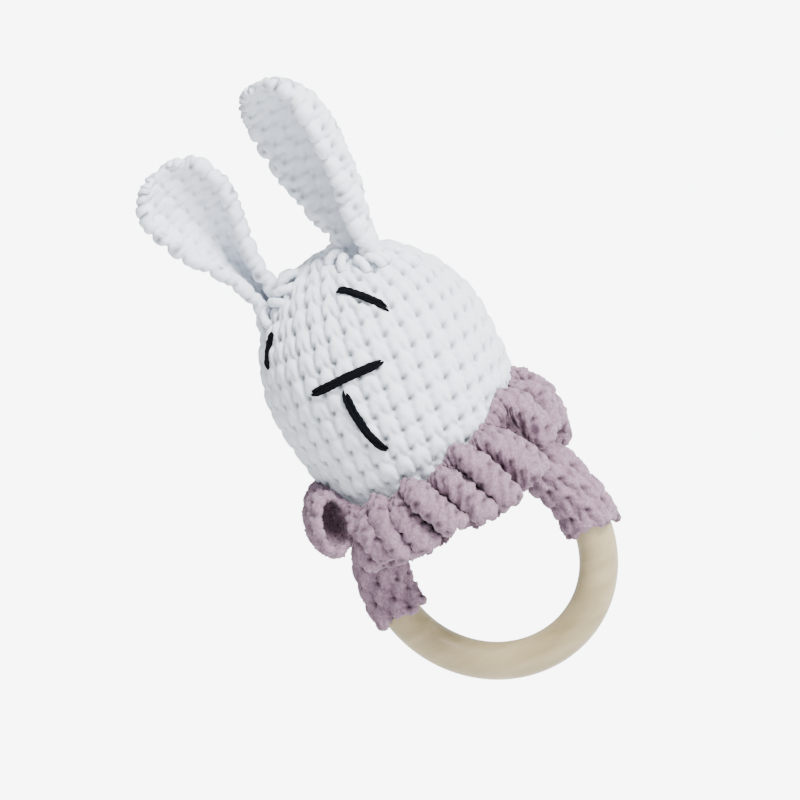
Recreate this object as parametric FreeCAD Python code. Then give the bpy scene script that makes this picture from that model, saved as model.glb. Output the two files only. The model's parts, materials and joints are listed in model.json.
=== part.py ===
import FreeCAD, Part
import math
import os

# Crocheted bunny teething rattle. Millimetres, +Z is the bunny's up, its face looks towards -Y,
# and the origin is the centre of the wooden ring, whose axis is Y.

# Wooden ring: a plain torus.
RING_CENTRELINE = 25.6
RING_SECTION = 4.4

# Crocheted sleeve that wraps the upper part of the ring.
SLEEVE_INNER = RING_SECTION + 0.05
SLEEVE_OUTER = 6.6
SLEEVE_HALF_ARC = 97.0
SEAM_THREAD = 0.55

# Head: half an egg above its widest level, a barrel below it, closed by a saddle over the ring.
HEAD_CENTRE_Z = 50.0
HEAD_RADIUS = 26.9
HEAD_UPPER_AXIS = 29.3
HEAD_BOTTOM_Z = 26.0
COVER_THICKNESS = 2.6
FIT_GAP = 0.05
SADDLE_RADIUS = 32.6
SADDLE_HALF_WIDTH = 11.5
SADDLE_THREAD = 0.7

# Rattle capsule inside the stuffing, made of two halves with a stepped lip.
CAPSULE_Z = 54.5
CAPSULE_OUTER = 10.5
CAPSULE_INNER = 9.3
LIP_RADIUS = 9.95
LIP_HEIGHT = 1.2
LIP_GAP = 0.03
BEAD_RADIUS = 1.8
BEAD_CIRCLE = 4.6
BEAD_COUNT = 5

# Ruffle collar round the bottom of the head, as (radius, height) corners of its section.
COLLAR_SECTION = [
    (26.9, 32.3), (28.5, 32.5), (30.8, 28.2), (31.4, 21.8), (30.4, 15.6), (27.5, 12.2),
    (21.5, 12.2), (19.5, 14.4), (19.4, 19.2), (20.6, 22.6), (23.6, 23.8), (25.6, 26.2),
    (26.4, 29.4),
]

# Embroidery, as (degrees from the front towards +X, height above the head's centre).
THREAD_RADIUS = 0.9
THREAD_LIFT = 0.1
RIGHT_EYE = [(19.0, 21.8), (25.0, 20.6), (31.0, 17.9), (35.5, 15.5), (38.5, 13.0)]
LEFT_EYE = [(-38.0, 19.6), (-42.5, 18.3), (-45.5, 16.4), (-46.5, 14.6), (-46.0, 12.9)]
NOSE = [(-18.4, 5.1), (-8.0, 4.9), (2.0, 4.8), (12.0, 4.6), (22.0, 4.4)]
MOUTH = [(-0.5, 2.9), (-2.0, -2.9), (-1.7, -7.8), (2.7, -13.3)]

# Ears: curled leaves on a round root. Each row is (height above the root, half of the cloth's width,
# how far the rims are turned in, in degrees).
EAR_ROWS = [
    (1.4, 2.6, 12), (4, 4.9, 30), (8, 7.0, 55), (13, 8.8, 62), (19, 10.1, 58),
    (25, 10.7, 52), (30, 10.0, 45), (34, 7.9, 35), (36.6, 5.0, 24), (38, 2.2, 12),
]
EAR_THICKNESS = 2.6
EAR_ROOT_RADIUS = 3.1
EAR_ROOT_LIFT = 3.5
EAR_ROOT_X = {"left": 11.2, "right": 10.4}
EAR_ROOT_Y = -7.5
EAR_FORWARD_LEAN = 8.0
# Side, outward lean and how far the cup is turned from the front towards +X, in degrees.
EARS = {"left": (-1, 9.0, 15.0), "right": (1, 0.5, -28.0)}
EAR_SEAM_RADIUS = 5.6
EAR_SEAM_THREAD = 0.7
EAR_SEAM_LIFT = 0.55

X_AXIS = FreeCAD.Vector(1, 0, 0)
Y_AXIS = FreeCAD.Vector(0, 1, 0)
Z_AXIS = FreeCAD.Vector(0, 0, 1)
ORIGIN = FreeCAD.Vector(0, 0, 0)


def smooth_curve(points):
    """An open curve through the points."""
    curve = Part.BSplineCurve()
    curve.interpolate(points)
    return curve.toShape()


def smooth_loop(points):
    """A closed curve through the points, as a wire."""
    curve = Part.BSplineCurve()
    curve.interpolate(points, PeriodicFlag=True)
    return Part.Wire([curve.toShape()])


def spun(wire):
    """The solid that a closed section in the XZ plane makes when it turns about Z."""
    return Part.Face(wire).revolve(ORIGIN, Z_AXIS, 360)


def arc_of_tube(section, tube_radius, half_arc, centreline=RING_CENTRELINE, y=0.0):
    """A round tube that follows the ring, centred on its top, from one end angle to the other."""
    middle = FreeCAD.Vector(0, y, centreline)
    disc = Part.Face(Part.Wire([Part.makeCircle(tube_radius, middle, X_AXIS)]))
    if section is not None:
        disc = disc.cut(Part.Face(Part.Wire([Part.makeCircle(section, middle, X_AXIS)])))
    disc.rotate(ORIGIN, Y_AXIS, -half_arc)
    return disc.revolve(ORIGIN, Y_AXIS, 2 * half_arc)


def wooden_ring():
    return Part.makeTorus(RING_CENTRELINE, RING_SECTION, ORIGIN, Y_AXIS)


def ring_sleeve():
    return arc_of_tube(SLEEVE_INNER, SLEEVE_OUTER, SLEEVE_HALF_ARC)


def sleeve_seam():
    """The line of stitches that closes the sleeve, on the back of the ring towards its hole."""
    reach = (SLEEVE_OUTER + SEAM_THREAD + FIT_GAP) / math.sqrt(2)
    return arc_of_tube(None, SEAM_THREAD, SLEEVE_HALF_ARC - 4, RING_CENTRELINE - reach, reach)


def head_radius(height, inset):
    """Radius of the head at a height above its centre, for a surface inset from the outside."""
    if height >= 0:
        share = height / (HEAD_UPPER_AXIS - inset)
        return (HEAD_RADIUS - inset) * math.sqrt(max(0.0, 1 - share * share))
    drop = -height / (HEAD_CENTRE_Z - HEAD_BOTTOM_Z)
    return (HEAD_RADIUS - inset) * (1 - 0.035 * drop * drop - 0.13 * drop ** 6)


def head_body(inset):
    """The head's outside, inset evenly, with the saddle that straddles the ring."""
    points = []
    for step in range(13):
        angle = math.radians(90 - 7.5 * step)
        upper = HEAD_UPPER_AXIS - inset
        points.append(FreeCAD.Vector((HEAD_RADIUS - inset) * math.cos(angle), 0,
                                     HEAD_CENTRE_Z + upper * math.sin(angle)))
    floor = HEAD_BOTTOM_Z + inset
    for share in (0.2, 0.4, 0.6, 0.8, 1.0):
        height = share * (floor - HEAD_CENTRE_Z)
        points.append(FreeCAD.Vector(head_radius(height, inset), 0, HEAD_CENTRE_Z + height))
    points[0].x = 0
    side = Part.BSplineCurve()
    side.interpolate(points, InitialTangent=X_AXIS, FinalTangent=FreeCAD.Vector(-0.6, 0, -0.8))
    centre_low = FreeCAD.Vector(0, 0, floor)
    wire = Part.Wire([
        side.toShape(),
        Part.makeLine(points[-1], centre_low),
        Part.makeLine(centre_low, points[0]),
    ])
    return spun(wire).cut(saddle(inset))


def saddle(inset):
    """The disc-shaped space over the ring that the head and collar leave free."""
    half = SADDLE_HALF_WIDTH + inset
    return Part.makeCylinder(SADDLE_RADIUS + inset, 2 * half, FreeCAD.Vector(0, -half, 0), Y_AXIS)


def head_cover():
    return head_body(0.0).cut(head_body(COVER_THICKNESS))


def head_stuffing():
    hollow = Part.makeSphere(CAPSULE_OUTER + FIT_GAP, FreeCAD.Vector(0, 0, CAPSULE_Z))
    return head_body(COVER_THICKNESS + FIT_GAP).cut(hollow)


def capsule_shell():
    centre = FreeCAD.Vector(0, 0, CAPSULE_Z)
    return Part.makeSphere(CAPSULE_OUTER, centre).cut(Part.makeSphere(CAPSULE_INNER, centre))


def lip_step(radius):
    """The shell's outer half wall just above the parting plane."""
    base = FreeCAD.Vector(0, 0, CAPSULE_Z)
    block = Part.makeCylinder(2 * CAPSULE_OUTER, LIP_HEIGHT, base)
    return block.cut(Part.makeCylinder(radius, LIP_HEIGHT, base))


def below(shape, z):
    block = Part.makeBox(60, 60, 60, FreeCAD.Vector(-30, -30, z - 60))
    return shape.common(block)


def rattle_shell_lower():
    shell = capsule_shell()
    return below(shell, CAPSULE_Z).fuse(shell.common(lip_step(LIP_RADIUS + LIP_GAP))).removeSplitter()


def rattle_shell_upper():
    shell = capsule_shell()
    lower = below(shell, CAPSULE_Z + LIP_GAP)
    raised = lip_step(LIP_RADIUS)
    raised.translate(FreeCAD.Vector(0, 0, LIP_GAP))
    return shell.cut(lower).cut(raised)


def bead_rest_drop():
    """How far below the capsule's centre a bead rests."""
    reach = CAPSULE_INNER - BEAD_RADIUS - FIT_GAP
    return math.sqrt(reach * reach - BEAD_CIRCLE * BEAD_CIRCLE)


def rattle_bead(index):
    angle = 2 * math.pi * index / BEAD_COUNT
    x = BEAD_CIRCLE * math.cos(angle)
    y = BEAD_CIRCLE * math.sin(angle)
    return Part.makeSphere(BEAD_RADIUS, FreeCAD.Vector(x, y, CAPSULE_Z - bead_rest_drop()))


def ruffle_collar():
    section = smooth_loop([FreeCAD.Vector(radius, 0, z) for radius, z in COLLAR_SECTION])
    return spun(section).cut(saddle(0.0))


def neck_seam():
    """Two rows of stitches under the head, one each side of the sleeve."""
    under = SADDLE_RADIUS - SADDLE_THREAD - FIT_GAP
    away = SLEEVE_OUTER + 1.4
    front = arc_of_tube(None, SADDLE_THREAD, 18, under, -away)
    back = arc_of_tube(None, SADDLE_THREAD, 18, under, away)
    return Part.makeCompound([front, back])


def on_head(azimuth, height, lift):
    """A point a little outside the head, from its direction and its height above the centre."""
    radius = head_radius(height, 0.0)
    turn = math.radians(azimuth)
    out = FreeCAD.Vector(math.sin(turn), -math.cos(turn), 0)
    slope = 0.0
    if height > 0:
        slope = height / HEAD_UPPER_AXIS ** 2 / (radius / HEAD_RADIUS ** 2)
    normal = FreeCAD.Vector(out.x, out.y, slope)
    normal.normalize()
    return out * radius + Z_AXIS * (HEAD_CENTRE_Z + height) + normal * lift


def embroidery(stitches):
    """A thread laid along the head's surface."""
    lift = THREAD_RADIUS + THREAD_LIFT
    points = [on_head(azimuth, height, lift) for azimuth, height in stitches]
    path = Part.Wire([smooth_curve(points)])
    start = path.Edges[0].tangentAt(path.Edges[0].FirstParameter)
    circle = Part.Wire([Part.makeCircle(THREAD_RADIUS, points[0], start)])
    return path.makePipeShell([circle], True, True)


def ear_section(z, half_cloth, curl):
    """A curled strip across the ear: rims towards -Y, the middle of its back towards +Y."""
    count = 9
    bend = half_cloth / math.radians(curl)
    inside = []
    outside = []
    for step in range(count):
        across = math.sin(math.radians(-90 + 180 * step / (count - 1)))
        angle = math.radians(curl * across)
        half = EAR_THICKNESS / 2 * math.sqrt(max(0.0, 1 - across ** 6))
        centre_y = -bend * math.cos(math.radians(curl))
        for radius, side in ((bend - half, inside), (bend + half, outside)):
            x = radius * math.sin(angle)
            side.append(FreeCAD.Vector(x, centre_y + radius * math.cos(angle), z))
    return smooth_loop(inside + outside[-2:0:-1])


def ear_blade():
    sections = [ear_section(*row) for row in EAR_ROWS]
    return Part.makeLoft(sections, True, False)


def ear_foot(name):
    """The point of the head's surface under an ear's root and the surface's normal there."""
    sideways = EAR_ROOT_X[name]
    azimuth = math.degrees(math.atan2(EARS[name][0] * sideways, -EAR_ROOT_Y))
    share = math.hypot(sideways, EAR_ROOT_Y) / HEAD_RADIUS
    height = HEAD_UPPER_AXIS * math.sqrt(1 - share * share)
    foot = on_head(azimuth, height, 0.0)
    return foot, on_head(azimuth, height, 1.0) - foot


def ear_root(name):
    foot, normal = ear_foot(name)
    return foot + normal * EAR_ROOT_LIFT


def ear(name):
    side, lean, turn = EARS[name]
    shape = ear_blade().fuse(Part.makeSphere(EAR_ROOT_RADIUS)).removeSplitter()
    shape.rotate(ORIGIN, Z_AXIS, turn)
    shape.rotate(ORIGIN, X_AXIS, EAR_FORWARD_LEAN)
    shape.rotate(ORIGIN, Y_AXIS, side * lean)
    shape.translate(ear_root(name))
    return shape


def ear_seam(name):
    """The ring of stitches on the head round an ear's root."""
    foot, normal = ear_foot(name)
    return Part.makeTorus(EAR_SEAM_RADIUS, EAR_SEAM_THREAD, foot + normal * EAR_SEAM_LIFT, normal)


def all_nodes():
    nodes = {
        "wooden_ring": wooden_ring(),
        "ring_sleeve": ring_sleeve(),
        "sleeve_seam": sleeve_seam(),
        "head_cover": head_cover(),
        "head_stuffing": head_stuffing(),
        "rattle_shell_lower": rattle_shell_lower(),
        "rattle_shell_upper": rattle_shell_upper(),
        "ruffle_collar": ruffle_collar(),
        "neck_seam": neck_seam(),
        "left_eye_thread": embroidery(LEFT_EYE),
        "right_eye_thread": embroidery(RIGHT_EYE),
        "nose_thread": embroidery(NOSE),
        "mouth_thread": embroidery(MOUTH),
    }
    for name in EARS:
        nodes[name + "_ear"] = ear(name)
        nodes[name + "_ear_seam"] = ear_seam(name)
    for index in range(BEAD_COUNT):
        nodes["rattle_bead_%d" % (index + 1)] = rattle_bead(index)
    return nodes


os.makedirs("parts", exist_ok=True)
for node, shape in all_nodes().items():
    shape.exportStep("parts/" + node + ".step")
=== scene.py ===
import json
import math
import bpy
import numpy as np
from mathutils import Matrix, Vector


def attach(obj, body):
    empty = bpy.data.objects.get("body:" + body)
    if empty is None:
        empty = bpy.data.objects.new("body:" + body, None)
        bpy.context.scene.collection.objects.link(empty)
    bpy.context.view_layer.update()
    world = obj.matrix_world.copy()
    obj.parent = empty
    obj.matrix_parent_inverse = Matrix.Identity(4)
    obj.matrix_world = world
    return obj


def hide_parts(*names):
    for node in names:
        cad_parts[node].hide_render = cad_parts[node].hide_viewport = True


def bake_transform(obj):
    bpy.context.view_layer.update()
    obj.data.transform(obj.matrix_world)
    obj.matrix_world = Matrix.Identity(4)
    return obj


# Looks of the crocheted bunny teething rattle. Lengths are in millimetres until a mesh is made.
# x runs to the right of somebody who looks at the bunny's face, y away from them and z up, and
# left and right are theirs. Named angles are in degrees.
MM = 0.001

# Camera and light. The light comes mostly from the bright side. Only the camera sees the backdrop.
CAMERA_AZIMUTH = 20.0
CAMERA_ELEVATION = 8.0
CAMERA_LEAN = 29.4
CAMERA_DISTANCE = 620.0
CAMERA_AIM = (0.0, 0.0, 41.3)
PICTURE_WIDTH = 181.0
SENSOR_WIDTH = 36.0
BRIGHT_SIDE = (0.85, -0.2, 0.5)
DIM_SIDE_LIGHT = 0.8
BRIGHT_SIDE_LIGHT = 1.5
HORIZON_LIGHT = 1.9
FLOOR_Z = -128.0
FLOOR_HALF = 20000.0
FLOOR_GLOW = 0.7
BACKDROP_LIGHT = 8.0
KEY_PLACE = (0.75, -0.35, 0.65)
KEY_POWER = 38.0
KEY_SIZE = 0.3
KEY_COLOUR = (1.0, 0.99, 0.98)

# The ring's tube and the sleeve over it, which covers this angle to each side of the ring's top.
RING_CENTRELINE = 25.6
SLEEVE_RADIUS = 6.6
SLEEVE_HALF_ARC = 97.0

# The head: half an ellipsoid above its centre and a turned profile, as radius and height, below.
HEAD_CENTRE_Z = 50.0
HEAD_RADIUS = 26.9
HEAD_UPPER = 29.3
HEAD_LOWER = [(26.8, 46.0), (26.5, 42.0), (25.9, 37.5), (25.1, 33.0), (24.0, 29.5), (22.3, 26.5),
              (19.6, 24.2), (16.0, 23.0), (11.0, 22.6), (5.0, 22.4), (0.02, 22.4)]
HEAD_RELIEF = 1.15
HEAD_STITCHES = 36
HEAD_STITCH = 4.65
HEAD_ROW = 4.9
HEAD_CROWN_ROW = 40.0
CROWN_STITCHES = 6
ROW_SHIFT = 0.15
SADDLE_GAP = 0.6

# Half the thickness of each yarn where it is fullest.
WHITE_YARN = 1.3
EAR_YARN = 1.2
MAUVE_YARN = 1.0

# A stitch is a V of two legs. Shares of its width and height say where a leg starts and ends, how
# far it is out of place, and which way each of two grooves runs up from the stitch's foot. The last
# number of a groove is its depth.
LEG_FOOT = (0.10, 0.02)
LEG_TOP = (0.5, 1.08)
LEG_WIDENED = 1.12
TWIST_LENGTH = 1.7
TWIST_WIDTH = 3.6
UNEVEN_ACROSS = 0.07
UNEVEN_UP = 0.06
UNEVEN_YARN = 0.09
GROOVES = ((-0.05, 0.36, 0.8), (0.30, 0.17, 1.0))
GROOVE_FOOT = 0.12
GROOVE_WIDTH = 0.115

EAR_FORWARD_LEAN = 8.0
EAR_ROOT_LIFT = 3.5
# Each row of an ear: height, half of the cloth's width, how far the rims turn in, in degrees, and
# how sharply the cloth is creased along its middle, from 0, an even curl, to 1, a fold. roll is how
# much more the rim at +X turns in than the other one.
EAR_ROWS = {
    "left": [(-6, 5.4, 95, 0.5), (0, 5.9, 94, 0.7), (4, 6.8, 90, 0.85), (9, 8.2, 80, 0.85),
             (14.5, 9.6, 68, 0.75), (20, 10.3, 56, 0.5), (24.8, 10.3, 46, 0.25), (28.6, 9.4, 38, 0.1),
             (31.4, 7.9, 32, 0), (33.5, 5.7, 26, 0), (34.8, 2.8, 20, 0)],
    "right": [(-6, 5.2, 90, 0.2), (0, 5.9, 86, 0.25), (4, 7.3, 82, 0.3), (9, 9.5, 79, 0.3),
              (15, 11.6, 77, 0.2), (21, 12.9, 75, 0.1), (27, 13.2, 73, 0), (32.5, 12.0, 68, 0),
              (36.2, 9.6, 57, 0), (38.8, 6.4, 44, 0), (40.0, 2.8, 30, 0)],
}
EAR_LEVELS = 140
EAR_SUNK = 5.0
EAR_CLOTH = 1.5
EAR_STITCH = 4.3
EAR_ROW = 4.6
EAR_SEAM_STITCHES = 9
EAR_SEAM_THREAD = 1.05
EAR_SEAM_RADIUS = 5.0
# lean is outwards and turn is about the ear's length; phase shifts its stitches.
EARS = {
    "left": {"side": -1, "lean": 9.0, "turn": 15.0, "roll": 0.0, "phase": 0.1, "seed": 41},
    "right": {"side": 1, "lean": 0.7, "turn": -28.0, "roll": 0.36, "phase": 0.6, "seed": 43},
}

# Every yarn is twisted by this angle, in radians, over each millimetre.
TWIST = 2.1

# Embroidered strokes: points as direction from the front and height over the head's centre, and
# the stroke's width. Each is a bundle of strands that sink into the head at both ends.
STRANDS = 4
STRAND_RADIUS = 0.42
STRAND_LIFT = 0.25
STRAND_SUNK = 1.3
STROKES = {
    "right_eye_thread": ([(19, 21.8), (25, 20.6), (31, 17.9), (35.5, 15.5), (38.5, 13)], 1.0),
    "left_eye_thread": ([(-38, 19.6), (-42.5, 18.3), (-45.5, 16.4), (-46.5, 14.6), (-46, 12.9)], 0.75),
    "nose_thread": ([(-18.4, 5.1), (-8, 4.9), (2, 4.8), (12, 4.6), (22, 4.4)], 1.2),
    "mouth_thread": ([(-0.5, 2.9), (-2, -2.9), (-1.7, -7.8), (2.7, -13.3)], 1.2),
}

# The ruffle, from its edge sewn to the head, over its belly, down to its free edge. The free edge
# is lifted where the band passes over the sleeve.
SEWN_RADIUS = 25.8
SEWN_Z = 32.8
SEWN_FRONT_DROP = 6.2
SEWN_BACK_DROP = 5.0
BELLY_RADIUS = 28.2
BELLY_DROP = 0.30
FREE_RADIUS = 27.8
FREE_Z = 14.2
LIFT_OVER_SLEEVE = 6.4
RUFFLE_FOLDS = 26
RUFFLE_SLANT = 0.5
RUFFLE_DEPTH = 2.9
RUFFLE_CLOTH = 1.2
RUFFLE_STITCH = 4.6
RUFFLE_ROW = 3.3

# A roll of the ruffle at the left that opens towards the front. Its mouth and its end are given as
# directions from the front towards +X and as distances from the head's axis. It rises towards its
# end. Its size is half of its width and half of its height, its hollow is a share of its length,
# and the band lies closer to the head underneath it.
ROLL_MOUTH = -38.5
ROLL_END = -82.0
ROLL_RADIUS = (30.8, 26.4)
ROLL_Z = 26.5
ROLL_RISE = 1.8
ROLL_HALF = (4.6, 6.7)
ROLL_WALL = 1.15
ROLL_DEPTH = 0.34
ROLL_TILT = 22.0
ROLL_STITCHES = 8
ROLL_TIP = 0.05
LIP_BULGE = 0.035
UNDER_ROLL_RADIUS = 25.9
UNDER_ROLL_Z = 22.6

SLEEVE_INSET = 1.0
SLEEVE_HOLE = 4.5
SLEEVE_ROW = 4.3
SLEEVE_STITCHES = 8

# Seams. The sleeve's runs along the ring, in this direction from the tube's middle. The head lies
# on its stitches near the ring's top, out to this arc each way, and presses them flat. The neck's is
# a row of stitches in front of the ring and one behind.
SEAM_STITCHES = 22
SEAM_THREAD = 0.5
SEAM_SIDE = 135.0
PRESSED_ARC = 42.0
PRESSED_FADE = 14.0
NECK_STITCHES = 7
NECK_THREAD = 0.62
NECK_HALF_LENGTH = 9.0
NECK_Y = 7.6
NECK_Z = 24.4

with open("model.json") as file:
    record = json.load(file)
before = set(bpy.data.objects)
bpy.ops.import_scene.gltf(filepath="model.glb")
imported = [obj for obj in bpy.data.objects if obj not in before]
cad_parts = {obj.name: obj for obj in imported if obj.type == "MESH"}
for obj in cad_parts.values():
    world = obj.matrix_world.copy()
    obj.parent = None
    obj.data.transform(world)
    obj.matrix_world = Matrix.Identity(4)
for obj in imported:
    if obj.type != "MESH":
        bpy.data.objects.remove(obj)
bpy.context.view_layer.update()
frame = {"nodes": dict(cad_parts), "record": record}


# ---------------------------------------------------------------- meshes

def unit(v):
    """Vectors of length one in the same directions."""
    return v / np.maximum(np.linalg.norm(v, axis=-1, keepdims=True), 1e-9)


def slope(points, axis, wraps):
    """Difference between neighbours along one direction of a grid."""
    if wraps:
        return np.roll(points, -1, axis) - np.roll(points, 1, axis)
    return np.gradient(points, axis=axis)


def grid_normals(points, wraps):
    """Unit normals of a grid of points, outward where the first direction turns right-handed."""
    return unit(np.cross(slope(points, 0, wraps[0]), slope(points, 1, wraps[1])))


def grid_faces(rows, columns, wraps):
    """Quads of a grid of points, numbered row by row."""
    i = np.arange(rows if wraps[0] else rows - 1)
    j = np.arange(columns if wraps[1] else columns - 1)
    a, b = np.meshgrid(i, j, indexing="ij")
    c, d = (a + 1) % rows, (b + 1) % columns
    quads = np.stack([a * columns + b, c * columns + b, c * columns + d, a * columns + d], -1)
    return quads.reshape(-1, 4)


def new_mesh(name, points, faces, painted_shade_share=None):
    """A smooth mesh object from points in millimetres, with an optional share of painted shade for each
    point.
    """
    mesh = bpy.data.meshes.new(name)
    mesh.from_pydata((np.asarray(points) * MM).tolist(), [], [tuple(f) for f in faces])
    mesh.polygons.foreach_set("use_smooth", [True] * len(mesh.polygons))
    if painted_shade_share is not None:
        layer = mesh.attributes.new("painted_shade_mask", "FLOAT", "POINT")
        layer.data.foreach_set("value", np.asarray(painted_shade_share, np.float32).ravel())
    mesh.update()
    obj = bpy.data.objects.new(name, mesh)
    bpy.context.scene.collection.objects.link(obj)
    return obj


def capped_grid(name, points, wraps_first, painted_shade_share=None):
    """A grid that closes round its second direction and is capped at both ends of its first."""
    rows, columns = points.shape[:2]
    faces = grid_faces(rows, columns, (wraps_first, True)).tolist()
    if not wraps_first:
        faces.append(list(range(columns)))
        faces.append([(rows - 1) * columns + k for k in range(columns)][::-1])
    return new_mesh(name, points.reshape(-1, 3), faces, painted_shade_share)


def noise(points, size, seed):
    """Smooth pseudo-random values between about -1 and 1 that vary over about size."""
    rng = np.random.default_rng(seed)
    total = np.zeros(points.shape[:-1])
    for _ in range(6):
        direction = unit(rng.normal(size=3)) / size * rng.uniform(0.7, 1.5)
        total += np.sin(points @ direction * 2 * math.pi + rng.uniform(0, 6.28))
    return total / 3.0


def jitter(column, row, seed):
    """A repeatable value from -1 to 1 for each stitch."""
    value = np.sin(column * 127.1 + row * 311.7 + seed * 74.7) * 43758.5453
    return 2 * (value - np.floor(value)) - 1


# ---------------------------------------------------------------- crochet

def leg_height(right, up, leg, width, height, thick, ply):
    """Height of one leg of a V-shaped stitch: a round twisted yarn that sinks in at both its ends."""
    foot_x, foot_y = leg * LEG_FOOT[0] * width, LEG_FOOT[1] * height
    reach_x, reach_y = leg * LEG_TOP[0] * width - foot_x, LEG_TOP[1] * height - foot_y
    squared = reach_x * reach_x + reach_y * reach_y
    share = np.clip(((right - foot_x) * reach_x + (up - foot_y) * reach_y) / squared, 0, 1)
    off_x = right - foot_x - share * reach_x
    off_y = up - foot_y - share * reach_y
    off = np.sqrt(off_x * off_x + off_y * off_y) / (thick * LEG_WIDENED)
    body = thick * np.sqrt(np.clip(1 - off * off, 0, 1))
    sink = 0.55 * np.exp(-(share / 0.13) ** 2) + 0.35 * np.exp(-((1 - share) / 0.16) ** 2)
    round_yarn = (off_x * reach_y - off_y * reach_x) / TWIST_WIDTH
    twist = ply * np.cos(2 * math.pi * (share * math.sqrt(squared) / TWIST_LENGTH + round_yarn))
    return np.clip(body * (1 - sink) + twist * (body > 0.2), 0, None)


def groove_depth(right, up, width, height):
    """How deep in the grooves beside a stitch's foot each point is, 0 to 1."""
    deepest = np.zeros(right.shape)
    from_foot = up - GROOVE_FOOT * height
    for share_x, share_y, depth in GROOVES:
        run_x, run_y = share_x * width, share_y * height
        share = np.clip((right * run_x + from_foot * run_y) / (run_x * run_x + run_y * run_y), 0, 1)
        apart = (right - share * run_x) ** 2 + (from_foot - share * run_y) ** 2
        fading = np.exp(-apart / (GROOVE_WIDTH * width) ** 2) * (1 - 0.75 * share)
        deepest = np.maximum(deepest, fading * depth)
    return deepest


def stitch_relief(rows, across_row, width, height, yarn, seed=0, pit=1.0, ply=0.0):
    """Height of V-shaped stitches over their cloth, and how deep in a gap each point is, 0 to 1.

    rows is the row coordinate of each point; across_row(r) gives the stitch coordinate in row r."""
    base_row = np.floor(rows)
    total = np.zeros(rows.shape)
    gap = np.zeros(rows.shape)
    for step in (-1, 0, 1):
        row = base_row + step
        place = across_row(row)
        middle = np.round(place)
        for side in (-1, 0, 1):
            column = middle + side
            right = (place - column - UNEVEN_ACROSS * jitter(column, row, seed)) * width
            up = (rows - row - UNEVEN_UP * jitter(column, row, seed + 1)) * height
            thick = yarn * (1 + UNEVEN_YARN * jitter(column, row, seed + 2))
            for leg in (-1, 1):
                total += leg_height(right, up, leg, width, height, thick, ply) ** 5
            gap = np.maximum(gap, groove_depth(right, up, width, height))
    return total ** 0.2 - pit * gap, gap


def cloth_from(points, wraps, rows, across_row, width, height, yarn, seed, pit=1.0, ply=0.0, scale=1.0):
    """Raises stitches on a grid of points; returns the new points and how deep in a gap each lies, used
    as painted shade.
    """
    normal = grid_normals(points, wraps)
    relief, gap = stitch_relief(rows, across_row, width, height, yarn, seed, pit, ply)
    relief = relief * scale + 0.12 * noise(points, 7.0, seed + 11)
    return points + normal * relief[..., None], gap


# ---------------------------------------------------------------- materials

def yarn_material(name, colour, painted_shade, speck, fibre_scale, sheen):
    """Matt cotton: colour mottled with speck, with painted shade in the gaps and hollows, and fine
    fibres.
    """
    material = bpy.data.materials.new(name)
    material.use_nodes = True
    tree = material.node_tree
    shader = tree.nodes["Principled BSDF"]
    shader.inputs["Roughness"].default_value = 0.92
    shader.inputs["Specular IOR Level"].default_value = 0.12
    shader.inputs["Sheen Weight"].default_value = sheen
    shader.inputs["Sheen Roughness"].default_value = 0.6
    place = tree.nodes.new("ShaderNodeTexCoord")
    painted_shade_mask = tree.nodes.new("ShaderNodeAttribute")
    painted_shade_mask.attribute_name = "painted_shade_mask"
    fibres = tree.nodes.new("ShaderNodeTexNoise")
    fibres.inputs["Scale"].default_value = fibre_scale
    fibres.inputs["Detail"].default_value = 6
    fibres.inputs["Roughness"].default_value = 0.7
    mottle = tree.nodes.new("ShaderNodeMix")
    mottle.data_type = "RGBA"
    mottle.inputs["A"].default_value = (*colour, 1)
    mottle.inputs["B"].default_value = (*speck, 1)
    strength = tree.nodes.new("ShaderNodeMapRange")
    strength.inputs["From Min"].default_value = 0.38
    strength.inputs["From Max"].default_value = 0.66
    # Painted shade: each point's mask mixes the colour towards a dark shade colour in gaps and hollows.
    deep = tree.nodes.new("ShaderNodeMix")
    deep.data_type = "RGBA"
    deep.inputs["B"].default_value = (*painted_shade, 1)
    bump = tree.nodes.new("ShaderNodeBump")
    bump.inputs["Strength"].default_value = 0.5
    bump.inputs["Distance"].default_value = 0.00025
    link = tree.links.new
    link(place.outputs["Object"], fibres.inputs["Vector"])
    link(fibres.outputs["Fac"], strength.inputs["Value"])
    link(strength.outputs["Result"], mottle.inputs["Factor"])
    link(mottle.outputs["Result"], deep.inputs["A"])
    link(painted_shade_mask.outputs["Fac"], deep.inputs["Factor"])
    link(deep.outputs["Result"], shader.inputs["Base Color"])
    link(fibres.outputs["Fac"], bump.inputs["Height"])
    link(bump.outputs["Normal"], shader.inputs["Normal"])
    return material


def wood_material():
    """Pale unvarnished beech with faint grain along the ring's flat."""
    material = bpy.data.materials.new("beech")
    material.use_nodes = True
    tree = material.node_tree
    shader = tree.nodes["Principled BSDF"]
    shader.inputs["Roughness"].default_value = 0.36
    shader.inputs["Specular IOR Level"].default_value = 0.4
    place = tree.nodes.new("ShaderNodeTexCoord")
    stretch = tree.nodes.new("ShaderNodeMapping")
    stretch.inputs["Scale"].default_value = (1.0, 5.0, 6.0)
    grain = tree.nodes.new("ShaderNodeTexNoise")
    grain.inputs["Scale"].default_value = 55
    grain.inputs["Detail"].default_value = 5
    ramp = tree.nodes.new("ShaderNodeValToRGB")
    ramp.color_ramp.elements[0].position = 0.3
    ramp.color_ramp.elements[0].color = (0.225, 0.18, 0.088, 1)
    ramp.color_ramp.elements[1].position = 0.7
    ramp.color_ramp.elements[1].color = (0.31, 0.25, 0.137, 1)
    link = tree.links.new
    link(place.outputs["Object"], stretch.inputs["Vector"])
    link(stretch.outputs["Vector"], grain.inputs["Vector"])
    link(grain.outputs["Fac"], ramp.inputs["Fac"])
    link(ramp.outputs["Color"], shader.inputs["Base Color"])
    return material


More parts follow.
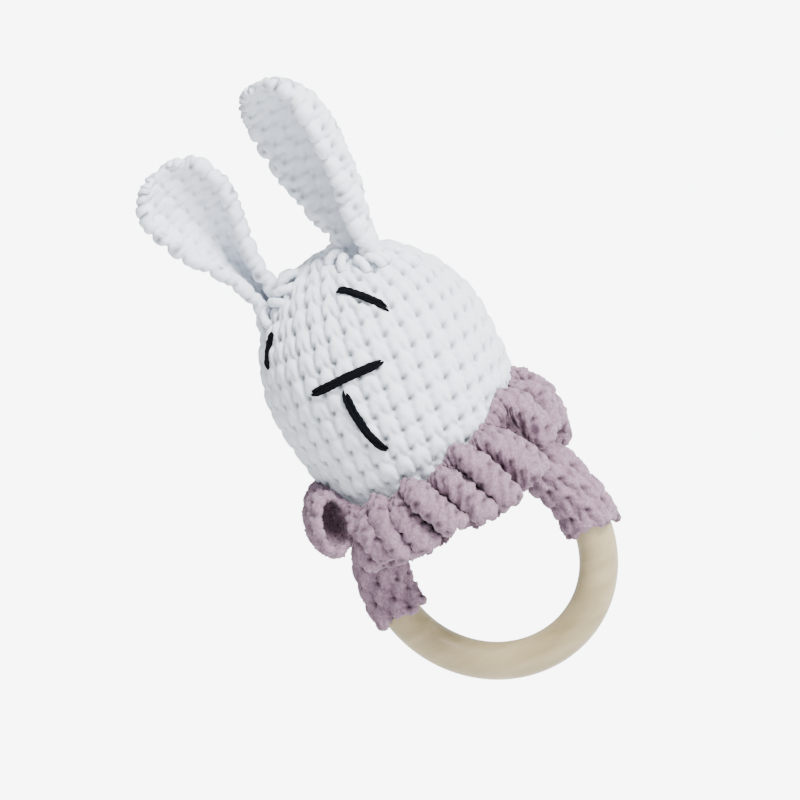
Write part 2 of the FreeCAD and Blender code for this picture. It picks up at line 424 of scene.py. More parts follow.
def plain_material(name, colour, roughness, variation):
    """A smooth material with a slight procedural change of colour."""
    material = bpy.data.materials.new(name)
    material.use_nodes = True
    tree = material.node_tree
    shader = tree.nodes["Principled BSDF"]
    shader.inputs["Roughness"].default_value = roughness
    shader.inputs["Specular IOR Level"].default_value = 0.5 * (1 - roughness)
    spots = tree.nodes.new("ShaderNodeTexNoise")
    spots.inputs["Scale"].default_value = 400
    ramp = tree.nodes.new("ShaderNodeValToRGB")
    ramp.color_ramp.elements[0].color = (*[c * (1 - variation) for c in colour], 1)
    ramp.color_ramp.elements[1].color = (*colour, 1)
    tree.links.new(spots.outputs["Fac"], ramp.inputs["Fac"])
    tree.links.new(ramp.outputs["Color"], shader.inputs["Base Color"])
    return material


WHITE = yarn_material("white_cotton", colour=(0.61, 0.655, 0.725), painted_shade=(0.14, 0.16, 0.175),
                      speck=(0.53, 0.57, 0.635), fibre_scale=2600, sheen=0.12)
MAUVE = yarn_material("mauve_cotton", colour=(0.145, 0.087, 0.126), painted_shade=(0.028, 0.012, 0.022),
                      speck=(0.25, 0.17, 0.22), fibre_scale=1500, sheen=0.1)
BLACK = plain_material("black_thread", (0.002, 0.0025, 0.004), 0.9, 0.5)
WOOD = wood_material()
FILLING = plain_material("filling", (0.85, 0.85, 0.85), 0.95, 0.1)
SHELL = plain_material("shell_plastic", (0.82, 0.82, 0.78), 0.3, 0.05)
BEAD = plain_material("bead_plastic", (0.5, 0.56, 0.65), 0.3, 0.05)


# ---------------------------------------------------------------- head

def head_profile(inset):
    """The head's side from crown to the middle of its bottom, evenly spaced, as radius and height."""
    angles = np.radians(np.linspace(90, 0, 90))
    upper = np.stack([(HEAD_RADIUS - inset) * np.cos(angles),
                      HEAD_CENTRE_Z + (HEAD_UPPER - inset) * np.sin(angles)], -1)
    lower = np.array(HEAD_LOWER)
    lower = lower - np.array([inset, 0]) * np.linspace(1, 0.3, len(lower))[:, None]
    lower[:, 1] += inset * np.linspace(0, 1, len(lower))
    lower[-1, 0] = HEAD_LOWER[-1][0]
    return np.concatenate([upper, lower])


def along_profile(profile, distance):
    """Radius and height at a distance along a profile, and the profile's whole length."""
    steps = np.concatenate([[0], np.cumsum(np.linalg.norm(np.diff(profile, axis=0), axis=1))])
    radius = np.interp(distance, steps, profile[:, 0])
    z = np.interp(distance, steps, profile[:, 1])
    return radius, z, steps[-1]


def over_sleeve(points, gap):
    """Lifts points so that they lie over the sleeve instead of inside it."""
    x, y, z = points[..., 0], points[..., 1], points[..., 2]
    reach = SLEEVE_RADIUS + gap
    across = np.clip(1 - (y / reach) ** 2, 0, 1)
    radius = RING_CENTRELINE + reach * np.sqrt(across)
    top = np.sqrt(np.clip(radius ** 2 - x ** 2, 0, None))
    top = np.where((np.abs(y) < reach) & (np.abs(x) < RING_CENTRELINE + reach), top, -100)
    lifted = points.copy()
    lifted[..., 2] = np.maximum(z, top)
    return lifted


def head_surface(inset, columns, samples):
    """A grid of points on the head from crown to bottom, with its distances and directions."""
    profile = head_profile(inset)
    total = along_profile(profile, 0)[2]
    distance = np.linspace(0.15, total - 0.15, samples)
    radius, z, _ = along_profile(profile, distance)
    turn = np.linspace(0, 2 * math.pi, columns, endpoint=False)
    r, a = np.meshgrid(radius, turn, indexing="ij")
    height, _ = np.meshgrid(z, turn, indexing="ij")
    points = np.stack([r * np.sin(a), -r * np.cos(a), height], -1)
    return over_sleeve(points, SADDLE_GAP), distance, turn


def make_head():
    """The head cover: rounds of stitches that grow by six from the crown to the full count."""
    points, distance, turn = head_surface(HEAD_RELIEF, HEAD_STITCHES * 12, 230)
    s, a = np.meshgrid(distance, turn, indexing="ij")
    rows = HEAD_CROWN_ROW - s / HEAD_ROW

    def across(row):
        from_crown = HEAD_CROWN_ROW - row
        count = np.clip(CROWN_STITCHES * np.round(from_crown), CROWN_STITCHES, HEAD_STITCHES)
        return a * count / (2 * math.pi) - ROW_SHIFT * row

    raised, gap = cloth_from(points, (False, True), rows, across, HEAD_STITCH, HEAD_ROW,
                             WHITE_YARN, seed=3, pit=1.25)
    # Painted shade darkens the gaps between the stitches.
    head = capped_grid("head_knit", raised, False, gap)
    head.data.materials.append(WHITE)
    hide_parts("head_cover")
    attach(head, "head")


# ---------------------------------------------------------------- ears

def ear_frame(name, shape):
    """Rotation of an ear and its root, which is where its joint is."""
    rotation = (Matrix.Rotation(math.radians(shape["side"] * shape["lean"]), 3, "Y")
                @ Matrix.Rotation(math.radians(EAR_FORWARD_LEAN), 3, "X")
                @ Matrix.Rotation(math.radians(shape["turn"]), 3, "Z"))
    joint = next(j for j in frame["record"]["behaviour"]["joints"] if j["name"] == name + "_ear_flop")
    return rotation, Vector(joint["pos_m"]) / MM


def ear_midline(half_cloth, curl, crease, roll, count):
    """Points from rim to rim across the ear, evenly spaced and bowed to the back, and their length."""
    t = np.linspace(-1, 1, count)
    power = 1 - 0.75 * crease
    angle = math.radians(curl) * np.sign(t) * np.abs(t) ** power * (1 + roll * t)
    step = half_cloth * (t[1] - t[0])
    x = np.cumsum(np.cos(angle)) * step
    y = -np.cumsum(np.sin(angle)) * step
    line = np.stack([x - x[count // 2], y - min(y[0], y[-1])], -1)
    return line, 2 * half_cloth


def ear_loop(half_cloth, curl, crease, roll, thickness, side_count, rim_count):
    """A closed section of the ear: front from rim to rim, round the rim, back again.

    Also how far round the cloth each point is, and how far it is inside the ear's cup, 0 to 1."""
    line, length = ear_midline(half_cloth, curl, crease, roll, side_count)
    along = unit(np.gradient(line, axis=0))
    front = np.stack([along[:, 1], -along[:, 0]], -1)
    half = thickness / 2
    beta = np.linspace(0, math.pi, rim_count + 2)[1:-1, None]
    far_rim = line[-1] + half * (front[-1] * np.cos(beta) + along[-1] * np.sin(beta))
    near_rim = line[0] - half * (front[0] * np.cos(beta) + along[0] * np.sin(beta))
    loop = np.concatenate([line + front * half, far_rim, (line - front * half)[::-1], near_rim])
    middle = np.linspace(-0.5, 0.5, side_count) * length
    past = half * np.linspace(0, math.pi, rim_count + 2)[1:-1]
    place = np.concatenate([middle, length / 2 + past, middle + length + half * math.pi,
                            1.5 * length + half * math.pi + past])
    cupped = 1 - np.abs(np.linspace(-1, 1, side_count)) ** 6
    hollow = np.concatenate([cupped, np.zeros(len(place) - side_count)])
    return loop, place, hollow


def ear_lengthways(points, side_count, rim_count):
    """How far up the cloth each point is, measured along its middle or along the nearer rim."""
    spread = np.linspace(-1, 1, side_count)
    spread = np.concatenate([spread, np.ones(rim_count), spread[::-1], -np.ones(rim_count)])
    lines = []
    for column in (0, side_count // 2, side_count - 1):
        line = points[:, column]
        steps = np.linalg.norm(np.diff(line, axis=0), axis=1)[::-1]
        lines.append(np.concatenate([[0], np.cumsum(steps)])[::-1, None])
    near, middle, far = lines
    share = np.abs(spread) ** 1.5
    return middle * (1 - share) + np.where(spread > 0, far, near) * share


def make_ear(name, shape):
    """A curled leaf of crochet; its stitches are flatter inside the cup than round its rim."""
    rows = np.array(EAR_ROWS[name])
    top = rows[-1, 0]
    phase = np.linspace(0, 1, EAR_LEVELS)
    heights = top * np.sin(phase * math.pi / 2) ** 0.9 - EAR_SUNK * (1 - phase) ** 3
    loops, places, hollows = [], [], []
    side_count, rim_count = 84, 7
    for z in heights[::-1]:
        half_cloth, curl, crease = (np.interp(z, rows[:, 0], rows[:, k]) for k in (1, 2, 3))
        tip = math.sqrt(max(0.0, 1 - (max(0.0, z - top + 3.0) / 3.05) ** 2))
        loop, place, hollow = ear_loop(half_cloth, curl, crease, shape["roll"], EAR_CLOTH * tip + 0.2,
                                       side_count, rim_count)
        loops.append(np.column_stack([loop, np.full(len(loop), z)]))
        places.append(place)
        hollows.append(hollow)
    points, place, hollow = np.array(loops), np.array(places), np.array(hollows)
    cell = ear_lengthways(points, side_count, rim_count) / EAR_STITCH + shape["phase"]

    def across(row):
        return cell + 0.5 * np.mod(row, 2)

    normal = grid_normals(points, (False, True))
    relief, gap = stitch_relief(place / EAR_ROW + 0.5, across, EAR_STITCH, EAR_ROW, EAR_YARN,
                                shape["seed"], pit=0.45)
    relief = relief * (1 - 0.45 * hollow) + 0.2 * noise(points, 8.0, shape["seed"])
    raised = points + normal * relief[..., None]
    rotation, root = ear_frame(name, shape)
    placed = raised @ np.array(rotation).T + np.array(root)
    # Painted shade darkens the gaps between the stitches, half as much inside the cup.
    ear = capped_grid(name + "_ear_knit", placed, False, gap * (1 - 0.5 * hollow))
    ear.data.materials.append(WHITE)
    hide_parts(name + "_ear")
    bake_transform(ear)


# ---------------------------------------------------------------- tubes

def tube(name, path, radius, material, ply=0.0, sides=10):
    """A closed yarn along a path; radius may be one value for each point. ply twists the yarn."""
    path = np.asarray(path, float)
    radius = np.broadcast_to(np.asarray(radius, float), (len(path),))
    along = unit(np.gradient(path, axis=0))
    normal = unit(np.cross(along[0], np.array([0.31, 0.52, 0.79])))
    steps = np.concatenate([[0], np.cumsum(np.linalg.norm(np.diff(path, axis=0), axis=1))])
    turn = np.linspace(0, 2 * math.pi, sides, endpoint=False)
    rings = []
    for k, tangent in enumerate(along):
        normal = unit(normal - tangent * np.dot(normal, tangent))
        other = np.cross(tangent, normal)
        lobes = 1 + ply * np.cos(2 * (turn - steps[k] * TWIST))
        rings.append(path[k] + radius[k] * lobes[:, None]
                     * (np.cos(turn)[:, None] * normal + np.sin(turn)[:, None] * other))
    points = np.array(rings)[::-1]
    obj = capped_grid(name, points, False, np.zeros(points.shape[:2]))
    obj.data.materials.append(material)
    return obj


def joined(name, objects):
    """Joins several mesh objects into one."""
    bpy.ops.object.select_all(action="DESELECT")
    for obj in objects:
        obj.select_set(True)
    bpy.context.view_layer.objects.active = objects[0]
    bpy.ops.object.join()
    objects[0].name = name
    objects[0].data.name = name
    return objects[0]


def smooth_path(points, count):
    """Evenly spaced points of a smooth curve through the given ones."""
    points = np.asarray(points, float)
    steps = np.concatenate([[0], np.cumsum(np.linalg.norm(np.diff(points, axis=0), axis=1))])
    even = np.linspace(0, steps[-1], count)
    line = np.stack([np.interp(even, steps, points[:, k]) for k in range(points.shape[1])], -1)
    for _ in range(count // 5):
        line[1:-1] = 0.5 * line[1:-1] + 0.25 * (line[:-2] + line[2:])
    return line


# ---------------------------------------------------------------- embroidery

def head_point(azimuth, height, lift):
    """A point on the head from its direction in degrees and its height above the centre."""
    share = height / HEAD_UPPER if height > 0 else 0.0
    radius = HEAD_RADIUS * math.sqrt(1 - share * share)
    if height < 0:
        radius = HEAD_RADIUS * (1 - 0.06 * (height / 22.5) ** 2)
    turn = math.radians(azimuth)
    normal = unit(np.array([math.sin(turn) * radius / HEAD_RADIUS ** 2,
                            -math.cos(turn) * radius / HEAD_RADIUS ** 2,
                            max(0.0, height) / HEAD_UPPER ** 2]))
    base = np.array([math.sin(turn) * radius, -math.cos(turn) * radius, HEAD_CENTRE_Z + height])
    return base + normal * lift, normal


def embroider(name, stroke, width):
    """One stroke of the face, from black strands side by side."""
    line = smooth_path(stroke, 48)
    strands = []
    for strand in range(STRANDS):
        offset = (strand - (STRANDS - 1) / 2) / (STRANDS - 1)
        reach = 0.04 * jitter(strand, 3, 5)
        points, sizes = [], []
        for k, (azimuth, height) in enumerate(line):
            t = k / (len(line) - 1)
            taper = min(1.0, (min(t, 1 - t) + 0.02 + reach * 0.5) * 7)
            place, normal = head_point(azimuth, height, STRAND_LIFT - STRAND_SUNK * (1 - taper) ** 2)
            before, _ = head_point(*line[max(0, k - 1)], STRAND_LIFT)
            after, _ = head_point(*line[min(len(line) - 1, k + 1)], STRAND_LIFT)
            sideways = unit(np.cross(unit(after - before), normal))
            sway = 0.10 * math.sin(9 * t + strand * 2.1) + offset * width * (0.35 + 0.65 * taper)
            lift = 0.16 * math.cos(7 * t + strand * 1.7)
            points.append(place + sideways * sway + normal * lift)
            sizes.append(STRAND_RADIUS * (0.55 + 0.45 * taper))
        strands.append(tube("%s_%d" % (name, strand), points, sizes, BLACK, ply=0.12))
    band = joined(name + "_strands", strands)
    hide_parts(name)
    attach(band, "head")


# ---------------------------------------------------------------- ruffle

def smooth_step(x):
    """Rises smoothly from 0 to 1 as x does."""
    x = np.clip(x, 0, 1)
    return x * x * (3 - 2 * x)


def under_roll(theta):
    """1 where the band lies under the roll, falling to 0 beside it."""
    middle = math.radians((ROLL_MOUTH + ROLL_END) / 2 + 4)
    reach = math.radians((ROLL_MOUTH - ROLL_END) / 2)
    away = np.abs(np.mod(theta - middle + math.pi, 2 * math.pi) - math.pi)
    return 1 - smooth_step((away - 0.85 * reach) / (0.3 * reach))


def ruffle_middle(columns, levels):
    """The middle surface of the ruffled band, from its sewn edge down to its free edge.

    Also how much painted shade the hollows between its folds get, 0 to 1. The folds are paired at the
    sewn edge and uneven in place and depth lower down."""
    around = np.linspace(0, 2 * math.pi, columns, endpoint=False)[None, :]
    down = np.linspace(0, 1, levels)[:, None]
    fold = (RUFFLE_FOLDS * (around / (2 * math.pi)) + 0.5 * np.sin(around + 1.0)
            + 0.35 * np.sin(3 * around + 0.5) + 0.16 * np.sin(7 * around + 2.0))
    phase = fold - RUFFLE_SLANT * down * (1 + 0.5 * np.sin(2 * around + 0.6))
    which = np.floor(phase + 0.5)
    uneven = 1 + 0.3 * np.sin(which * 2.4) * np.sin(math.pi * down)
    paired = 1 - smooth_step((down - 0.02) / 0.3)
    lobe = (np.cos(2 * math.pi * phase) * (1 - 0.55 * paired)
            - 0.55 * np.cos(math.pi * phase + 0.5) * paired) * (0.35 + 0.65 * smooth_step(down / 0.45))
    swing = 0.105 * np.sin(4 * math.pi * phase) * np.clip(down * 2.2, 0, 1)
    theta = around + 2 * math.pi / RUFFLE_FOLDS * swing

    front = np.clip(np.cos(theta), 0, 1) ** 1.3
    back = np.clip(-np.cos(theta), 0, 1) ** 1.3
    left = np.clip(-np.sin(theta), 0, 1) ** 2
    side = np.clip(np.abs(np.sin(theta)) + 0.16 * left, 0, 1)
    over = smooth_step((side - 0.86) / 0.13)
    wavy = 0.9 * np.sin(which * 1.9) + 0.8 * np.cos(2 * math.pi * phase)
    sewn_radius = SEWN_RADIUS - 1.2 * front - 1.6 * back + 1.2 * left
    sewn_z = SEWN_Z + 1.2 * np.sin(theta) - SEWN_FRONT_DROP * front - SEWN_BACK_DROP * back
    sewn_z = sewn_z - 1.2 * np.cos(math.pi * phase + 0.5) + 0.6 * np.cos(2 * math.pi * phase)
    free_radius = FREE_RADIUS - 0.6 * over + 0.5 * np.sin(which * 3.1)
    free_z = FREE_Z + LIFT_OVER_SLEEVE * over + wavy * (1 - over)
    belly_z = sewn_z - BELLY_DROP * (sewn_z - free_z)

    sewn_part, belly_part, free_part = (1 - down) ** 2, 2 * down * (1 - down), down ** 2
    radius = sewn_part * sewn_radius + belly_part * BELLY_RADIUS + free_part * free_radius
    z = sewn_part * sewn_z + belly_part * belly_z + free_part * free_z
    radius = radius + RUFFLE_DEPTH * uneven * lobe
    hidden = under_roll(theta)
    radius = radius + (UNDER_ROLL_RADIUS - radius) * hidden
    z = z + (np.maximum(z, UNDER_ROLL_Z) - z) * hidden
    middle = np.stack([radius * np.sin(theta), -radius * np.cos(theta), z], -1)
    # The second value is painted shade where the folds dip in.
    return middle, 0.8 * np.clip(0.1 - lobe, 0, 1)


def roll_section(inside, lip, outside):
    """How far along the roll each of its rings of points is, and how much smaller than its widest.

    The rings run from the bottom of the hollow out over the lip and along the outside to the end."""
    deep = np.linspace(0, 1, inside)
    turn = np.linspace(0, math.pi, lip + 2)[1:-1]
    out = np.linspace(0, 1, outside)
    share = np.concatenate([ROLL_DEPTH * (1 - deep), -LIP_BULGE * np.sin(turn), out])
    bottom = 1 - np.sqrt(1 - (1 - deep) ** 2)
    closing = 1 - np.sqrt(1 - np.clip(out * 1.6 - 0.6, 0, 1) ** 2)
    inner = -ROLL_WALL - (ROLL_HALF[0] - ROLL_WALL - ROLL_TIP) * bottom
    rounded = -ROLL_WALL / 2 * (1 + np.cos(turn))
    outer = -(ROLL_HALF[0] - ROLL_TIP) * closing
    return share, np.concatenate([inner, rounded, outer])


def make_roll():
    """The roll at the ruffle's left, hollow at its mouth and closed at its far end."""
    around, inside, lip, outside = 120, 40, 10, 90
    phi = np.linspace(0, 2 * math.pi, around, endpoint=False)[None, :]
    share, grow = roll_section(inside, lip, outside)
    wide = (ROLL_HALF[0] + grow)[:, None]
    tall = np.maximum(ROLL_TIP, (ROLL_HALF[1] + grow)[:, None] * np.minimum(1, wide / 1.5))
    tilt = math.radians(ROLL_TILT)
    sideways = wide * np.cos(phi)
    upward = -tall * np.sin(phi) * (1 + 0.12 * np.cos(phi))
    radial = sideways * math.cos(tilt) - upward * math.sin(tilt)
    height = sideways * math.sin(tilt) + upward * math.cos(tilt)
    angle = np.radians(ROLL_MOUTH + (ROLL_END - ROLL_MOUTH) * share)[:, None]
    along = np.clip(share, 0, 1)[:, None]
    radius = ROLL_RADIUS[1] + (ROLL_RADIUS[0] - ROLL_RADIUS[1]) * (1 - along) ** 2 + radial
    z = ROLL_Z + ROLL_RISE * along + height
    points = np.stack([radius * np.sin(angle), -radius * np.cos(angle), z], -1)
    steps = np.linalg.norm(np.diff(points, axis=0), axis=-1).mean(1)
    rows = np.concatenate([[0], np.cumsum(steps)])[:, None] / RUFFLE_ROW + 0 * phi

    def across(row):
        return phi / (2 * math.pi) * ROLL_STITCHES + 0.5 * np.mod(row, 2)

    raised_share = np.concatenate([np.full(inside, 0.2), np.full(lip, 0.55), np.ones(outside)])
    raised, gap = cloth_from(points, (False, True), rows, across, RUFFLE_STITCH, RUFFLE_ROW,
                             MAUVE_YARN, seed=27, pit=0.7, ply=0.2, scale=raised_share[:, None])
    # Painted shade: the stitches' gaps and the roll's hollow, darkest at its bottom, are darkened.
    hollow = np.concatenate([np.linspace(0.5, 0, inside), np.zeros(lip + outside)])[:, None]
    roll = capped_grid("ruffle_roll", raised, False, np.maximum(gap, hollow))
    roll.data.materials.append(MAUVE)
    return roll


def make_ruffle():
    """The gathered band with stitches on both faces, joined with its roll."""
    columns, levels, edge = RUFFLE_FOLDS * 44, 32, 4
    middle, painted_shade = ruffle_middle(columns, levels)
    normal = grid_normals(middle, (False, True))
    down = unit(slope(middle, 0, False))
    half = RUFFLE_CLOTH / 2
    beta = np.linspace(0, math.pi, edge + 2)[1:-1, None, None]
    lower = middle[-1] + half * (normal[-1] * np.cos(beta) + down[-1] * np.sin(beta))
    upper = middle[0] - half * (normal[0] * np.cos(beta) + down[0] * np.sin(beta))
    points = np.concatenate([middle + normal * half, lower, (middle - normal * half)[::-1], upper])
    across_steps = np.linalg.norm(middle - np.roll(middle, 1, 1), axis=-1)
    length = across_steps[levels // 2].sum()
    stitches = round(length / RUFFLE_STITCH)
    down_steps = np.linalg.norm(np.diff(points, axis=0, append=points[:1]), axis=-1)
    distance = np.concatenate([np.zeros((1, columns)), np.cumsum(down_steps, 0)[:-1]])
    rows_round = round(down_steps.sum(0).mean() / RUFFLE_ROW)
    rows = distance / down_steps.sum(0) * rows_round
    along = np.concatenate([[0], np.cumsum(across_steps[levels // 2])[:-1]]) / length * stitches

    def across(row):
        return along[None, :] + 0.5 * np.mod(row, 2)

    sewn = 0.4 + 0.6 * smooth_step(np.linspace(0, 1, levels)[:, None] / 0.2)
    flat_edge = np.concatenate([sewn, np.ones((edge, 1)), sewn[::-1], np.full((edge, 1), sewn[0])])
    raised, gap = cloth_from(points, (True, True), rows, across, RUFFLE_STITCH, RUFFLE_ROW,
                             MAUVE_YARN, seed=21, pit=0.7, ply=0.2, scale=flat_edge)
    # Painted shade in the fold hollows, carried round both edges and joined with the stitches' gaps.
    lower_shade = np.repeat(painted_shade[-1:], edge, 0)
    upper_shade = np.repeat(painted_shade[:1], edge, 0)
    painted_shade = np.concatenate([painted_shade, lower_shade, painted_shade[::-1], upper_shade])
    band = capped_grid("ruffle_knit", raised, True, np.maximum(gap, painted_shade))
    band.data.materials.append(MAUVE)
    ruffle = joined("ruffle_knit", [band, make_roll()])
    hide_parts("ruffle_collar")
    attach(ruffle, "head")


# ---------------------------------------------------------------- sleeve

def ring_point(alpha, phi, radius):
    """A point of a tube round the ring's centreline; alpha is measured from the ring's top."""
    reach = RING_CENTRELINE + radius * np.cos(phi)
    return np.stack([reach * np.sin(alpha), radius * np.sin(phi), reach * np.cos(alpha)], -1)


def make_sleeve():
    """The crocheted tube round the ring, with stitches on its outside and slightly flared ends."""
    around, along, edge = 128, 250, 4
    phi = np.linspace(0, 2 * math.pi, around, endpoint=False)[None, :]
    span = np.linspace(-1, 1, along)[:, None]
    end = math.radians(SLEEVE_HALF_ARC) * (1 + 0.012 * np.sin(2 * phi + 1) + 0.008 * np.sin(5 * phi))
    alpha = span * end
    flare = 0.5 * np.exp(-((1 - np.abs(span)) / 0.05) ** 2)
    outer_radius = SLEEVE_RADIUS - SLEEVE_INSET + flare + 0 * phi
    inner_radius = np.full(alpha.shape, SLEEVE_HOLE)
    beta = np.linspace(0, 1, edge + 2)[1:-1, None]
    bulge = 0.02 * np.sin(math.pi * beta)
    right_end = ring_point(end + bulge, phi, outer_radius[-1:] * (1 - beta) + SLEEVE_HOLE * beta)
    left_end = ring_point(-end - bulge, phi, outer_radius[:1] * beta + SLEEVE_HOLE * (1 - beta))
    points = np.concatenate([ring_point(alpha, phi + 0 * alpha, outer_radius), right_end,
                             ring_point(alpha, phi + 0 * alpha, inner_radius)[::-1], left_end])
    weight = np.concatenate([np.ones(along), np.linspace(1, 0, edge),
                             np.zeros(along), np.linspace(0, 1, edge)])
    arc = alpha * RING_CENTRELINE
    full = np.concatenate([arc, np.repeat(arc[-1:], edge, 0), arc[::-1], np.repeat(arc[:1], edge, 0)])
    rows = full / SLEEVE_ROW

    def across(row):
        return phi / (2 * math.pi) * SLEEVE_STITCHES + 0.5 * np.mod(row, 2)

    normal = grid_normals(points, (True, True))
    width = 2 * math.pi * SLEEVE_RADIUS / SLEEVE_STITCHES
    relief, gap = stitch_relief(rows, across, width, SLEEVE_ROW, MAUVE_YARN,
                                seed=31, pit=0.9, ply=0.2)
    relief = relief + 0.25 * noise(points, 9.0, 12)
    raised = points + normal * (relief * weight[:, None])[..., None]
    # Painted shade darkens the gaps between the stitches.
    sleeve = capped_grid("sleeve_knit", raised, True, gap)
    sleeve.data.materials.append(MAUVE)
    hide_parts("ring_sleeve")
    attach(sleeve, "sleeve")


def make_sleeve_seam():
    """Slanting stitches that close the sleeve on the back of the ring, towards its hole."""
    stitches = []
    for k in range(SEAM_STITCHES):
        alpha = math.radians(SLEEVE_HALF_ARC - 7) * (2 * k / (SEAM_STITCHES - 1) - 1)
        t = np.linspace(-1, 1, 13)
        phi = math.radians(SEAM_SIDE) + 0.28 * t
        slant = alpha + 0.045 * t
        past = abs(alpha) - math.radians(PRESSED_ARC)
        pressed = 0.7 * (1 - smooth_step(past / math.radians(PRESSED_FADE)))
        radius = SLEEVE_RADIUS + 0.2 - pressed - 0.9 * np.abs(t) ** 3
        path = ring_point(slant, phi, radius)
        stitches.append(tube("seam_%d" % k, path, SEAM_THREAD, MAUVE, ply=0.12, sides=8))
    seam = joined("sleeve_seam_stitches", stitches)
    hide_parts("sleeve_seam")
    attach(seam, "sleeve")


def make_neck_seam():
    """Two rows of stitches that hold the head down to the sleeve."""
    stitches = []
    for face in (-1, 1):
        for k in range(NECK_STITCHES):
            centre = 2 * k / (NECK_STITCHES - 1) - 1
            t = np.linspace(-1, 1, 13)
            x = NECK_HALF_LENGTH * centre + 0.9 * t
            y = face * (NECK_Y + 0.5 * t)
            z = NECK_Z + 1.6 * t - 0.7 * np.abs(t) ** 3
            path = np.stack([x, y, z], -1)
            stitches.append(tube("neck_%d_%d" % (face, k), path, NECK_THREAD, MAUVE, ply=0.12, sides=8))
    seam = joined("neck_seam_stitches", stitches)
    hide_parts("neck_seam")
    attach(seam, "head")


def make_ear_seam(name, shape):
    """White stitches on the head round an ear's foot."""
    rotation, root = ear_frame(name, shape)
    normal = np.array(root) - np.array([0, 0, HEAD_CENTRE_Z])
    normal = unit(normal * np.array([1 / HEAD_RADIUS ** 2, 1 / HEAD_RADIUS ** 2, 1 / HEAD_UPPER ** 2]))
    foot = np.array(root) - normal * EAR_ROOT_LIFT
    side = unit(np.cross(normal, np.array(rotation @ Vector((0, 1, 0)))))
    front = np.cross(normal, side)
    stitches = []
    for k in range(EAR_SEAM_STITCHES):
        angle = 2 * math.pi * (k + 0.25 * jitter(k, 1, shape["seed"])) / EAR_SEAM_STITCHES
        t = np.linspace(-1, 1, 15)
        radius = EAR_SEAM_RADIUS + (1.8 + 0.4 * jitter(k, 2, shape["seed"])) * t
        turn = angle + 0.16 * t
        lift = 0.1 - 1.3 * np.abs(t) ** 3 + 0.7 * (1 - t)
        path = (foot + (radius * np.cos(turn))[:, None] * side * 1.1
                + (radius * np.sin(turn))[:, None] * front * 0.8 + lift[:, None] * normal)
        stitches.append(tube("%s_foot_%d" % (name, k), path, EAR_SEAM_THREAD, WHITE,
                             ply=0.08, sides=12))
    seam = joined(name + "_ear_stitches", stitches)
    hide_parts(name + "_ear_seam")
    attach(seam, "head")


# ---------------------------------------------------------------- scene

def place_camera():
    """A long lens, turned to the right of straight ahead, with the toy leaning in the picture."""
    azimuth, elevation = math.radians(CAMERA_AZIMUTH), math.radians(CAMERA_ELEVATION)
    lean = math.radians(CAMERA_LEAN)
    back = Vector((math.sin(azimuth) * math.cos(elevation),
                   -math.cos(azimuth) * math.cos(elevation), math.sin(elevation)))
    right = Vector((math.cos(azimuth), math.sin(azimuth), 0))
    up = back.cross(right)
    across = right * math.cos(lean) - up * math.sin(lean)
    upright = up * math.cos(lean) + right * math.sin(lean)
    camera = bpy.data.objects.new("camera", bpy.data.cameras.new("camera"))
    camera.data.sensor_width = SENSOR_WIDTH
    camera.data.lens = SENSOR_WIDTH * CAMERA_DISTANCE / PICTURE_WIDTH
    camera.data.clip_start = 0.01
    camera.data.clip_end = 50.0
    place = (Vector(CAMERA_AIM) + back * CAMERA_DISTANCE) * MM
    matrix = Matrix((across, upright, back)).transposed().to_4x4()
    matrix.translation = place
    camera.matrix_world = matrix
    bpy.context.scene.collection.objects.link(camera)
    bpy.context.scene.camera = camera


def add_light(name, place, energy, size, colour):
    """A square lamp that points at the toy."""
    light = bpy.data.lights.new(name, "AREA")
    light.energy = energy
    light.size = size
    light.color = colour
    obj = bpy.data.objects.new(name, light)
    obj.location = place
    obj.rotation_mode = "QUATERNION"
    obj.rotation_quaternion = (Vector((0, 0, 0.04)) - obj.location).to_track_quat("-Z", "Y")
    bpy.context.scene.collection.objects.link(obj)


def make_floor():
    """A pale floor well below the toy that only lights it from underneath."""
    corners = [(-FLOOR_HALF, -FLOOR_HALF, FLOOR_Z), (FLOOR_HALF, -FLOOR_HALF, FLOOR_Z),
               (FLOOR_HALF, FLOOR_HALF, FLOOR_Z), (-FLOOR_HALF, FLOOR_HALF, FLOOR_Z)]
    floor = new_mesh("floor", corners, [(0, 1, 2, 3)])
    material = bpy.data.materials.new("floor")
    material.use_nodes = True
    shader = material.node_tree.nodes["Principled BSDF"]
    shader.inputs["Base Color"].default_value = (0.98, 0.98, 0.98, 1)
    shader.inputs["Roughness"].default_value = 0.9
    shader.inputs["Emission Color"].default_value = (1, 1, 1, 1)
    shader.inputs["Emission Strength"].default_value = FLOOR_GLOW
    floor.data.materials.append(material)
    floor.visible_camera = False


def larger_of(tree, first, second):
    """A node that gives the larger of two values."""
    node = tree.nodes.new("ShaderNodeMath")
    node.operation = "MAXIMUM"
    tree.links.new(first, node.inputs[0])
    tree.links.new(second, node.inputs[1])
    return node.outputs["Value"]


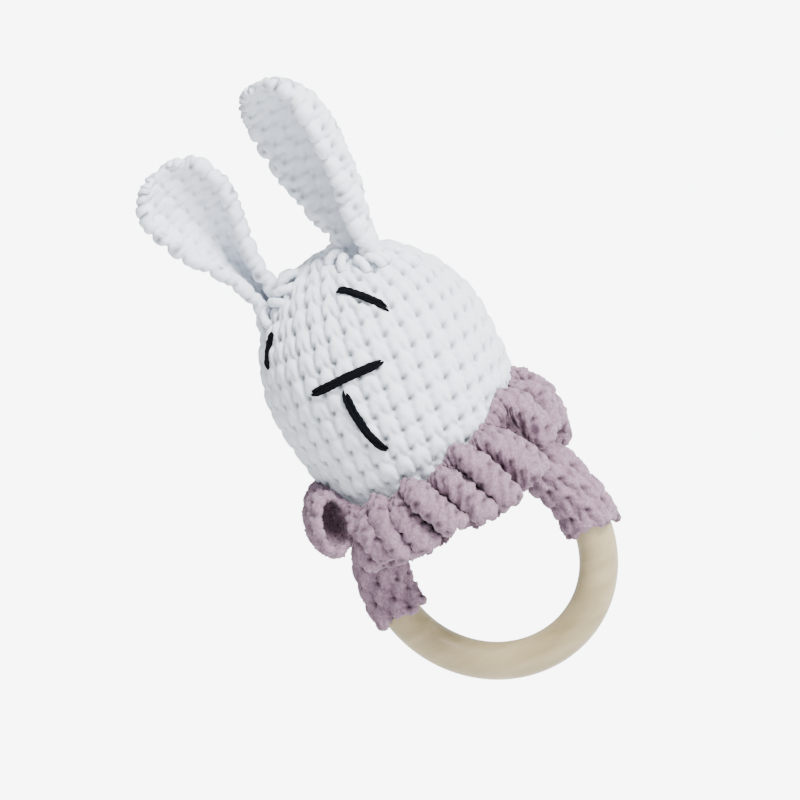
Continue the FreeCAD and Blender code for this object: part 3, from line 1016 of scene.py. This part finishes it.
def make_world():
    """Light from all round, brighter from one side and near the horizon; the camera sees white."""
    world = bpy.data.worlds.new("studio")
    bpy.context.scene.world = world
    world.use_nodes = True
    tree = world.node_tree
    place = tree.nodes.new("ShaderNodeTexCoord")
    toward = tree.nodes.new("ShaderNodeVectorMath")
    toward.operation = "DOT_PRODUCT"
    toward.inputs[1].default_value = Vector(BRIGHT_SIDE).normalized()
    level = tree.nodes.new("ShaderNodeMapRange")
    level.inputs["From Min"].default_value = -1.0
    level.inputs["To Min"].default_value = DIM_SIDE_LIGHT
    level.inputs["To Max"].default_value = BRIGHT_SIDE_LIGHT
    tree.links.new(place.outputs["Generated"], toward.inputs[0])
    tree.links.new(toward.outputs["Value"], level.inputs["Value"])
    split = tree.nodes.new("ShaderNodeSeparateXYZ")
    haze = tree.nodes.new("ShaderNodeMapRange")
    haze.interpolation_type = "SMOOTHSTEP"
    haze.inputs["From Min"].default_value = 0.03
    haze.inputs["From Max"].default_value = 0.3
    haze.inputs["To Min"].default_value = HORIZON_LIGHT
    haze.inputs["To Max"].default_value = 0.0
    tree.links.new(place.outputs["Generated"], split.inputs["Vector"])
    tree.links.new(split.outputs["Z"], haze.inputs["Value"])
    path = tree.nodes.new("ShaderNodeLightPath")
    seen = tree.nodes.new("ShaderNodeMath")
    seen.operation = "MULTIPLY"
    seen.inputs[1].default_value = BACKDROP_LIGHT
    tree.links.new(path.outputs["Is Camera Ray"], seen.inputs[0])
    around = larger_of(tree, level.outputs["Result"], haze.outputs["Result"])
    shown = larger_of(tree, seen.outputs["Value"], around)
    back = tree.nodes["Background"]
    back.inputs["Color"].default_value = (0.97, 0.98, 1.0, 1)
    tree.links.new(shown, back.inputs["Strength"])


def cad_material(name):
    """The material of a CAD node, from its name."""
    looks = {
        "wooden_ring": WOOD, "head_stuffing": FILLING,
        "rattle_shell_lower": SHELL, "rattle_shell_upper": SHELL,
        "ring_sleeve": MAUVE, "ruffle_collar": MAUVE, "sleeve_seam": MAUVE, "neck_seam": MAUVE,
    }
    if name.startswith("rattle_bead"):
        return BEAD
    if "thread" in name:
        return BLACK
    return looks.get(name, WHITE)


def dress_cad_nodes():
    """Materials and smooth shading for the CAD's own meshes, whether they stay in sight or not."""
    for name, node in frame["nodes"].items():
        material = cad_material(name)
        node.data.materials.clear()
        node.data.materials.append(material)
        node.data.polygons.foreach_set("use_smooth", [True] * len(node.data.polygons))


dress_cad_nodes()
make_head()
for ear_name, ear_shape in EARS.items():
    make_ear(ear_name, ear_shape)
    make_ear_seam(ear_name, ear_shape)
for stroke_name, (stroke, stroke_width) in STROKES.items():
    embroider(stroke_name, stroke, stroke_width)
make_ruffle()
make_sleeve()
make_sleeve_seam()
make_neck_seam()
make_floor()
make_world()
add_light("key", KEY_PLACE, KEY_POWER, KEY_SIZE, KEY_COLOUR)
place_camera()
